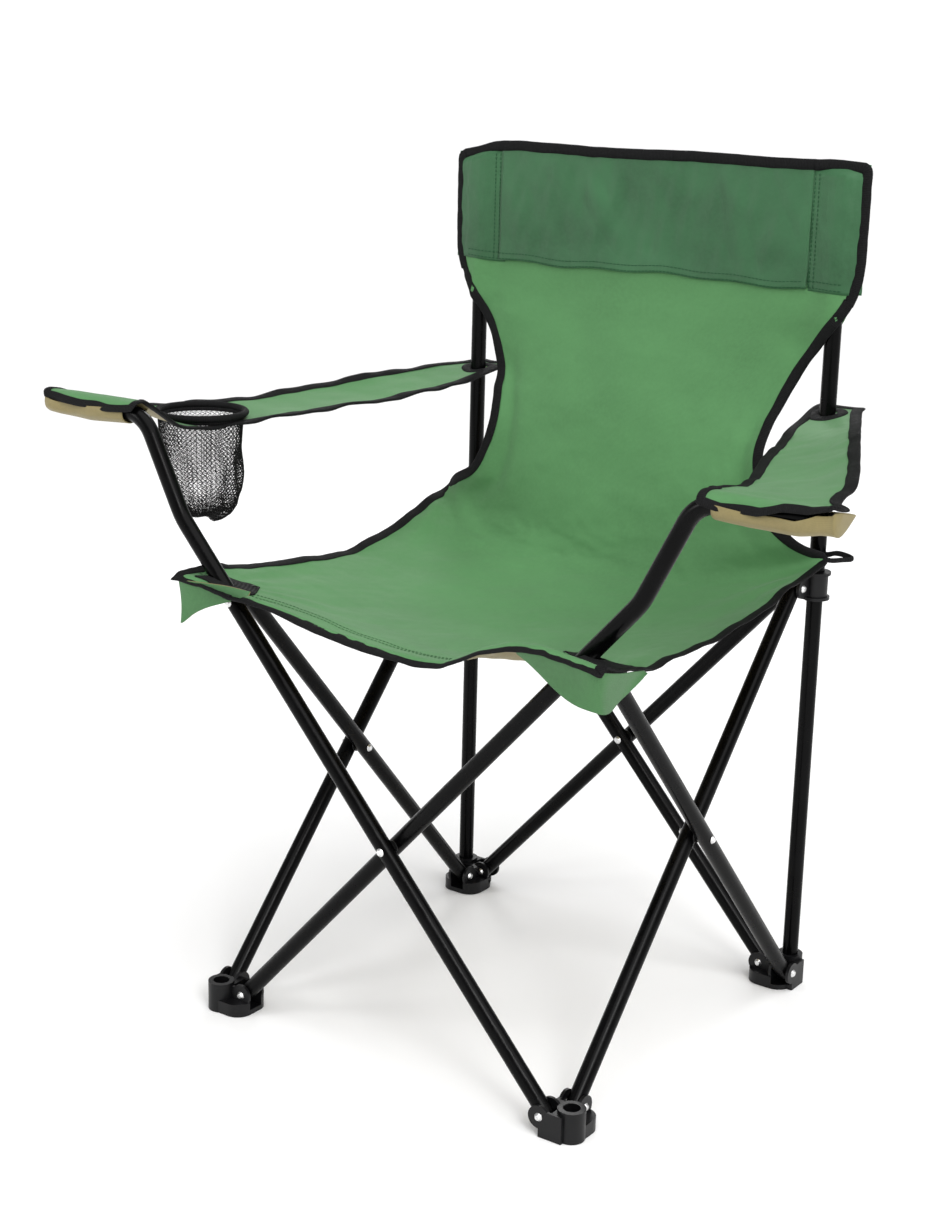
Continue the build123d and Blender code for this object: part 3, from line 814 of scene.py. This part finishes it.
def pocket_loop(outer):
    """Plan of a pocket: front layer, round the outside edge, rear layer. X is from the middle."""
    front = [(174, 204.4), (180, 203.8), (187, 202.4), (194, 200.2), (201, 198.3), (208.5, 197.6)]
    front += [(217, 198.6), (224, 201.2), (230, 203.6), (outer, 205.6)]
    rear = [(230, 208.5), (224, 212.6), (217, 217.0), (208.5, 218.9), (200, 217.6), (193, 213.4)]
    rear += [(186, 209.0), (174, 206.0)]
    return catmull(front + rear, 72)


def make_pocket(side, name, body):
    count = 40
    rows = []
    for s in np.linspace(0, 1, count):
        plan = pocket_loop(236.5)
        x = side * plan[:, 0]
        low = band_low(x) - 2
        z = low + (band_top(x) - low) * s
        crush = np.array(
            [
                1.5 * rough_noise(px * 0.6, pz, 21 + side, 0.03)
                + 0.6 * rough_noise(px, pz, 22, 0.09)
                for px, pz in zip(plan[:, 0] * 2 + plan[:, 1], z)
            ]
        )
        away = plan - [POST, POST]
        away /= np.linalg.norm(away, axis=1, keepdims=True)
        edge = 1 - bell(plan[:, 0] - 179, 6)
        plan = plan + away * (np.maximum(crush, -0.4) * edge)[:, None]
        closing = 0.92 * smoothstep(-13, -4, z - band_top(x))
        plan[:, 1] += (207 - plan[:, 1]) * closing
        rows.append(np.column_stack([side * plan[:, 0], plan[:, 1], z]))
    grid = np.array(rows)
    cloth = grid_piece(f"pole_pocket_{name}", grid * MM, ["band"])
    thick(cloth, 0.0008)
    belong(cloth, body)

    # tape over the top and down the outer edge
    middle = []
    for t in np.linspace(179, 231, 30):
        middle.append((side * t, 205.4 + 1.6 * smoothstep(182, 200, t), band_top(side * t)))
    corner = []
    top = band_top(side * 236)
    for turn in np.linspace(0, math.pi / 2, 12)[1:]:
        corner.append((side * (229.5 + 7 * math.sin(turn)), 206.6, top - 7 + 7 * math.cos(turn)))
    down = []
    for z in np.linspace(top - 9, 703, 44):
        edge = float(np.interp(z, [700, 712, 724, 745], [226.5, 231.5, 235, 236.8]))
        down.append((side * edge, float(np.interp(z, [704, 740], [203.6, 206.4])), z))
    line = even(np.array(middle + corner + down), 150)
    heart = np.array([side * 214, 206.5, 760])
    inner = line.copy()
    for index, point in enumerate(line):
        if abs(point[0]) < 228 and point[2] > 800:
            inner[index] = point - [0, 0, 5]
        elif point[2] < top - 8:
            inner[index] = point - [side * 5, 0, 0]
        else:
            inner[index] = point + (heart - point) * 0.05
    hem = binding(f"pole_pocket_binding_{name}", line, inner, swell=3.2)
    belong(hem, body)
    # the lighter cloth behind the upright, below the band
    z = np.linspace(667, BAND_LOW + 4, 26)
    outer = np.interp(z, [664, 687, 706, 726], [201, 218, 229, 234])
    back = np.empty((26, 30, 3))
    for r in range(26):
        x = np.linspace(180, outer[r], 30)
        back[r, :, 0] = side * x
        back[r, :, 1] = 204.5 + 14.5 * bell(x - POST, 14)
        back[r, :, 2] = z[r] + 4 * np.linspace(0, 1, 30) ** 2
    rear = grid_piece(f"pole_pocket_rear_{name}", back * MM, ["green"])
    belong(rear, body)
    thick(rear, 0.0008)

    for number, x in enumerate((182, 187)):
        z = np.linspace(BAND_LOW + 2, float(band_top(side * x)) - 9, 40)
        y = np.interp(x, pocket_loop(236.5)[:30, 0], pocket_loop(236.5)[:30, 1])
        line = np.column_stack([np.full(40, side * x), np.full(40, y), z])
        seam = stitches(
            f"pole_pocket_stitch_{name}_{number + 1}",
            line,
            np.tile([0.0, -1.0, 0.0], (40, 1)),
            material="dark_thread",
            lift=1.0,
        )
        belong(seam, body)
    for number, row in enumerate((1, 3)):
        line = grid[row][:28]
        normal = np.tile([0.0, -1.0, 0.0], (28, 1))
        seam = stitches(
            f"pole_pocket_seam_{name}_{number + 1}", line, normal, material="dark_thread", lift=0.9
        )
        belong(seam, body)



# ---- armrests -----------------------------------------------------------------------------

CUP = (-327, -102, 574.5)  # the middle of the cup ring
RING = 43.5
# Rear to front: inner X and Y, outer X and Y, the inner and outer edges' heights on the left and
# on the right, and how far the middle hangs
ARM = [
    (187, 243, 229, 246, 600, 600, 600, 600, 0),
    (186, 224, 234, 230, 598, 599, 598, 600, 0),
    (187, 200, 245, 204, 595, 598, 592, 600, 0.5),
    (188, 172, 260, 172, 591, 597, 586, 601, 1.5),
    (200, 133, 279, 131, 586, 593, 583, 604, 2.5),
    (215, 90, 299, 88, 580, 589, 583, 607, 3.5),
    (226, 57, 314, 56, 577, 584, 583, 608, 4),
    (236, 24, 330, 23, 576, 580, 582, 607, 4),
    (247, -8, 345, -9, 574, 577, 580, 607, 4),
    (259, -42, 361, -43, 572, 575, 578, 606, 4),
    (270, -76, 377, -77, 569, 574, 581, 605, 3),
    (281, -108, 391, -110, 568, 576, 586, 602, 2),
    (285, -138, 397, -140, 566, 580, 591, 600, 1),
    (291, -168, 406, -170, 573, 588, 596, 599, 0),
]
# the front edge's height across each armrest, from its inner corner out
ARM_FRONT = {
    -1: ((0, 0.3, 0.6, 0.85, 1), (593, 591, 592, 594, 595)),
    1: ((0, 0.16, 0.46, 0.64, 0.83, 1), (593, 589, 590, 597, 597, 603)),
}


def arm_grid(side, tube_y, front_x):
    """The top cloth of one armrest in mm, ending in front of the post's end."""
    x0, x1 = front_x
    table = list(ARM) + [
        (x0, tube_y + 12, x1 - 1, tube_y + 12, 598.6, 598.6, 598.6, 599, 0),
        (x0, tube_y + 5, x1, tube_y + 5, 600.2, 600.2, 600.2, 600.2, 0),
        (x0 - 1, tube_y - 2, x1 + 2, tube_y - 2, 600.2, 600.2, 600.2, 600.2, 0),
        (x0 - 1, tube_y - 8, x1 + 1, tube_y - 8, 597.5, 597.5, 597.5, 597.5, 0),
        (x0, tube_y - 12, x1 - 3, tube_y - 12, 592.5, 592.5, 592.5, 592.5, 0),
    ]
    rows, columns = 200, 61
    table = even(catmull(table, 800), rows)
    s = np.linspace(0, 1, columns)
    grid = np.empty((rows, columns, 3))
    for r, (ix, iy, ox, oy, *heights, sag) in enumerate(table):
        low, high = heights[:2] if side < 0 else heights[2:]
        grid[r, :, 0] = side * (ix + (ox - ix) * s)
        grid[r, :, 1] = iy + (oy - iy) * s
        grid[r, :, 2] = low + (high - low) * s - sag * 4 * s * (1 - s)
    held = 1 - 0.75 * bell(grid[..., 1] - tube_y, 14)
    ring = np.ones(grid.shape[:2])
    if side < 0:
        ring = smoothstep(0, 60, np.hypot(grid[..., 0] - CUP[0], grid[..., 1] - CUP[1]) - 30)
    for r in range(rows):
        for c in range(columns):
            px, py, _ = grid[r, c]
            wave = 2.2 * rough_noise(px, py, 31 + side, 0.02)
            wave += 1.0 * rough_noise(px, py, 33 + side, 0.05)
            grid[r, c, 2] += wave * held[r, c] * ring[r, c]
    run = np.linspace(0, 1, rows)[:, None]
    rim = np.abs(2 * s - 1)[None, :] ** 6
    flap = np.sin(run * 34 + side) + 0.6 * np.sin(run * 71 + 2 * s[None, :] * 3)
    grid[..., 2] += (1.1 if side < 0 else 0.6) * rim * flap * held * smoothstep(0.12, 0.2, run)
    front = smoothstep(0.955, 1, run) * np.ones((1, columns))
    grid[..., 2] += front * (np.interp(s, *ARM_FRONT[side]) - 592.5)[None, :]
    grid[..., 1] -= front * (1.5 * np.sin(s * 13 + side))[None, :]
    return grid


def hold_arm(piece, side):
    """Armrest cloth: its rear stays with the upright and its front goes with the post."""
    belong(piece, "rear_left_upright" if side < 0 else "rear_right_upright")
    share = np.clip((0.22 - points_of(piece)[:, 1]) / 0.41, 0, 1)
    carry(piece, "left_arm_tube" if side < 0 else "right_arm_tube", share**2.2)
    return piece


def make_arm(side, name, tube_y, front_x):
    grid = arm_grid(side, tube_y, front_x)
    columns = grid.shape[1]
    centres = (grid[:-1, :-1] + grid[1:, 1:]) / 2
    keep = np.hypot(centres[..., 0] - side * POST, centres[..., 1] - POST) > 9.4
    if side < 0:
        keep &= np.hypot(centres[..., 0] - CUP[0], centres[..., 1] - CUP[1]) > RING
    faces_up = ["green", "olive"] if side < 0 else ["olive", "green"]
    cloth = grid_piece(f"armrest_cloth_{name}", grid * MM, faces_up, keep=keep)
    tidy_mesh(cloth)
    hold_arm(cloth, side)
    thick(cloth, 0.0009, under=1)
    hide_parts(f"armrest_{name}")

    # the lower half of the sleeve, its coated face outwards
    last = grid[-1]
    seam_z = 592.5  # where the sleeve meets the armrest cloth
    profile = ((0, 1, 0), (0.12, 0.5, -6), (0.3, 3, -11), (0.5, 12, -15), (0.75, 24, -11), (1, 40, 0))
    under = []
    for share, dy, z in profile:
        row = last.copy()
        span = 1 - (1 - np.linspace(0, 1, columns)) ** 1.8
        joined = max(0.35, 1 - 2.2 * share)
        row[:, 0] = side * (front_x[0] + 12 + (front_x[1] - front_x[0] - 10.5) * span)
        row[:, 1] += dy
        ripple = 0.8 * np.sin(np.linspace(0, 9, columns) + share * 3)
        row[:, 2] = seam_z + joined * (row[:, 2] - seam_z) + z + ripple
        if share == 1:
            row[:, 2] = seam_z
        closed = smoothstep(0.975, 1, span)
        row[:, 1] += (tube_y - row[:, 1]) * closed
        row[:, 2] += (599 - row[:, 2]) * closed
        under.append(row)
    under = np.array(under)
    layers = np.array([catmull(under[:, c], 26) for c in range(columns)]).transpose(1, 0, 2)
    sleeve = grid_piece(f"armrest_sleeve_{name}", layers * MM, ["olive"])
    hold_arm(sleeve, side)
    thick(sleeve, 0.0009)

    outline = np.concatenate([grid[:, 0], grid[-1, 1:-1], grid[::-1, -1], grid[0, -2:0:-1]])
    inside = np.concatenate([grid[:, 2], grid[-4, 1:-1], grid[::-1, -3], grid[3, -2:0:-1]])
    both = even(np.concatenate([outline, inside], axis=1), 560)
    widths = 6.2 + 3.6 * smoothstep(tube_y, tube_y + 60, both[:, 1])
    edge, within = both[:, :3], both[:, 3:]
    look = {"width": widths, "swell": 1.6, "waver": 0.5, "closed": True}
    hem = binding(f"armrest_binding_{name}", edge, within, **look)
    hold_arm(hem, side)
    return grid, cloth


def torus(name, centre, ring, tube, flat, material, across=64, around=12):
    points, faces, uvs = [], [], []
    for i in range(across):
        turn = 2 * math.pi * i / across
        for j in range(around):
            roll = 2 * math.pi * j / around
            reach = ring + tube * math.cos(roll)
            points.append(
                (
                    centre[0] + reach * math.cos(turn),
                    centre[1] + reach * math.sin(turn),
                    centre[2] + tube * flat * math.sin(roll),
                )
            )
            uvs.append((j * 2 * math.pi * tube / around * MM, i * 2 * math.pi * ring / across * MM))
            faces.append(
                (
                    i * around + j,
                    (i + 1) % across * around + j,
                    (i + 1) % across * around + (j + 1) % around,
                    i * around + (j + 1) % around,
                )
            )
    return mesh_piece(name, np.array(points) * MM, faces, uvs, [material])


def make_grommet(side, name, arm):
    """The stiffened oval round an upright at the rear of an armrest."""
    centre = (side * POST, POST + 2, 600.4)
    ring = torus(f"arm_grommet_ring_{name}", centre, 13.4, 5.2, 0.32, "webbing")
    points = points_of(ring)
    points[:, 1] = (POST + 2) * MM + (points[:, 1] - (POST + 2) * MM) * 1.12
    heights = [nearest_height(arm, *(point[:2] / MM), share=1) for point in points]
    points[:, 2] += (np.array(heights) + 0.4) * MM - 0.6004
    ring.data.vertices.foreach_set("co", points.reshape(-1))
    belong(ring, "rear_left_upright" if side < 0 else "rear_right_upright")
    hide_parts(f"arm_grommet_{name}")


def bag_radius(depth):
    """The pocket's radius in mm at a depth below its ring."""
    return np.interp(depth, [0, 30, 60, 76, 88, 97, 104, 108], [43, 41, 40, 38.5, 34, 27, 17, 5])


def make_cup_holder():
    """A taped ring and a bag of diamond net, each thread real."""
    ring = torus("cup_holder_ring", CUP, 44.4, 3.6, 0.95, "tape")
    hold_arm(ring, -1)
    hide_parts("cup_ring")
    cells = 52
    depths = [0.0]
    while depths[-1] < 106:
        depths.append(depths[-1] + max(1.3, 2.5 * float(bag_radius(depths[-1])) / 39))
    points, uvs = [], []
    for level, depth in enumerate(depths):
        radius = float(bag_radius(depth))
        for i in range(cells):
            turn = 2 * math.pi * (i + 0.5 * (level % 2)) / cells
            slack = (
                1.9 * math.sin(turn * 5 + depth * 0.05) + 1.2 * math.sin(turn * 8 - depth * 0.09)
            ) * min(1, depth / 40)
            reach = max(1.5, radius + slack * min(1, radius / 20))
            droop = 3.0 * math.sin(turn + 0.6) * min(1, depth / 90)
            points.append(
                (
                    CUP[0] + reach * math.cos(turn),
                    CUP[1] + reach * math.sin(turn),
                    CUP[2] - 1 - min(depth, 106) * (1 + 0.02 * math.sin(3 * turn)) - droop,
                )
            )
            uvs.append((turn * 0.04, depth * MM))
    faces = []
    for level in range(len(depths) - 2):
        for i in range(cells):
            right = (i + 1) % cells
            a = level * cells + (right if level % 2 else i)
            left_low = (level + 1) * cells + (i if level % 2 else (i - 1) % cells)
            right_low = (level + 1) * cells + (right if level % 2 else i)
            b = (level + 2) * cells + (right if level % 2 else i)
            faces.append((a, left_low, b, right_low))
    net = mesh_piece("cup_net", np.array(points) * MM, faces, uvs, ["net"], smooth=False)
    hold_arm(net, -1)
    threads = net.modifiers.new("threads", "WIREFRAME")
    threads.thickness = 0.00095
    threads.use_replace = True
    threads.use_even_offset = False
    threads.use_boundary = True
    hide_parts("cup_pocket")
    # a gathered hem of net doubled over where the bag turns under, and its cord at the ring
    hem = torus("cup_net_hem", (CUP[0], CUP[1], CUP[2] - 4.5), 42.6, 1.3, 1.6, "webbing", around=8)
    hold_arm(hem, -1)
    return ring


# ---- corners of the seat ------------------------------------------------------------------


POST_HOLE = 9.2  # the radius of the hole that each arm post comes through


def nearest_height(grid, x, y, share=0.5):
    """A cloth's height near a place in plan, in the first share of its rows."""
    seat = grid[: int(len(grid) * share)]
    near = np.argmin((seat[..., 0] - x) ** 2 + (seat[..., 1] - y) ** 2)
    return seat[..., 2].reshape(-1)[near]


def make_patch(side, name, grid, outline, stand):
    """A reinforcement with a hole for the arm post; outline is its corners round the post."""
    centre = np.array([side * ARM_POST_X, ARM_POST_Y[name]])
    corners = np.array([(side * x, y) for x, y in outline + outline[:1]], float)
    rim = even(corners, 97)[:-1]
    rows = []
    for t in np.linspace(0, 1, 14):
        ring = []
        for point in rim:
            away = point - centre
            start = centre + away / np.linalg.norm(away) * POST_HOLE
            spot = start + (point - start) * t
            lift = 1.5 + stand * (1 - t) ** 1.5 + 0.6 * rough_noise(spot[0], spot[1], 41, 0.08)
            ring.append((spot[0], spot[1], nearest_height(grid, *spot) + lift))
        rows.append(ring)
    patch = grid_piece(f"corner_patch_cloth_{name}", np.array(rows) * MM, ["webbing"], closed=True)
    tidy_patch(patch)
    belong(patch, f"{name}_hub")
    thick(patch, 0.0012)
    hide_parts(f"corner_patch_{name}")
    after = np.roll(corners[:-1], -1, axis=0)
    cut = abs((corners[:-1, 0] * after[:, 1] - corners[:-1, 1] * after[:, 0]).sum()) / 2
    cut -= math.pi * POST_HOLE**2
    return patch


def tidy_patch(piece):
    """Flattens the steps left by the cloth's own grid."""
    made = bmesh.new()
    made.from_mesh(piece.data)
    for _ in range(3):
        bmesh.ops.smooth_vert(made, verts=made.verts, factor=0.5, use_axis_z=True)
    made.to_mesh(piece.data)
    made.free()


def make_flap(side, name, top, drop, curl):
    """Loose cloth hanging from the front corner, by its upper edge, lengths and curl."""
    columns, rows = 61, 26
    line = catmull([(side * x, y, z) for x, y, z in top], columns)
    fall = catmull([(d, c) for d, c in zip(drop, curl)], columns)
    grid = np.empty((rows, columns, 3))
    along = np.gradient(line, axis=0)
    outward = np.cross(along, [0, 0, 1.0]) * -side
    outward /= np.linalg.norm(outward, axis=1, keepdims=True)
    for r in range(rows):
        t = r / (rows - 1)
        for c in range(columns):
            s = c / (columns - 1)
            pleat = 3.0 * math.sin(s * 9 + side) * t + 2.0 * math.sin(s * 17) * t * t
            out = fall[c, 1] * math.sin(t * 1.9) + pleat
            grid[r, c] = line[c] + outward[c] * out - [0, 0, fall[c, 0] * t]
    # flap is the darkened green, painted shade for the cloth hanging under the hem
    facing = ["flap", "olive"] if side < 0 else ["olive", "flap"]
    flap = grid_piece(f"corner_flap_cloth_{name}", grid * MM, facing)
    belong(flap, f"{name}_hub")
    thick(flap, 0.0009, under=1)
    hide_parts(f"corner_flap_{name}")
    return flap


def make_strap(side, name):
    """A webbing loop from the ear of the sling round the upright, above the slider."""
    plan = [(204, 196), (222, 199), (238, 207), (244, 212), (238, 217)]
    plan += [(222, 219), (206, 219), (198, 212), (197, 202)]
    section = ((-1.8, -2.6), (-2.2, 2.6), (2.2, 3.0), (1.8, -2.6))
    loop = even(catmull(plan + plan[:1], 160), 90)[:-1]
    heart = loop.mean(axis=0)
    rows = []
    for x, y in loop:
        away = np.array([x, y]) - heart
        away /= np.linalg.norm(away)
        z = 457 + 2.0 * math.sin(math.atan2(away[1], away[0]) * 2) + (x - 220) * -0.02
        rows.append([(side * (x + away[0] * o), y + away[1] * o, z + h) for o, h in section])
    grid = np.array(rows)
    grid = np.concatenate([grid, grid[:1]])
    grid = np.concatenate([grid, grid[:, :1]], axis=1)
    strap = grid_piece(f"seat_strap_loop_{name}", grid * MM, ["webbing"])
    belong(strap, f"{name}_slider")
    finer = strap.modifiers.new("refine", "SUBSURF")
    finer.levels = finer.render_levels = 1
    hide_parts(f"seat_strap_{name}")


make_strap(-1, "left")
make_strap(1, "right")
sling = make_sling()
make_band()
for side, name in ((-1, "left"), (1, "right")):
    make_grommet(side, name, make_arm(side, name, ARM_POST_Y[name], (303, 421))[0])
make_cup_holder()
PATCH_LEFT = [(219, -229), (219, -196), (184, -176), (166, -204), (172, -232)]
PATCH_RIGHT = [(160, -178), (186, -156), (233, -172), (230, -217), (212, -224)]
make_patch(-1, "left", sling, PATCH_LEFT, 2.5)
make_patch(1, "right", sling, PATCH_RIGHT, 6.5)
FLAP_PLAN = [(148, -230.5), (176, -232.5), (204, -235), (226, -237)]
FLAP_PLAN += [(237.5, -230), (237, -206), (234.5, -180), (232.5, -160)]
for side, name, heights, drop, curl in (
    (-1, "left", (445, 446, 445, 444, 443, 445, 443, 440),
     (3, 16, 26, 38, 44, 38, 20, 2), (0, 2, 3, 4, 4, 3, 2, 0)),
    (1, "right", (445, 447, 446, 444, 443, 437, 432, 428),
     (3, 24, 34, 36, 37, 34, 22, 2), (0, 4, 7, 7, 6, 5, 3, 0)),
):
    make_flap(side, name, [(x, y, z) for (x, y), z in zip(FLAP_PLAN, heights)], drop, curl)
dress_frame()
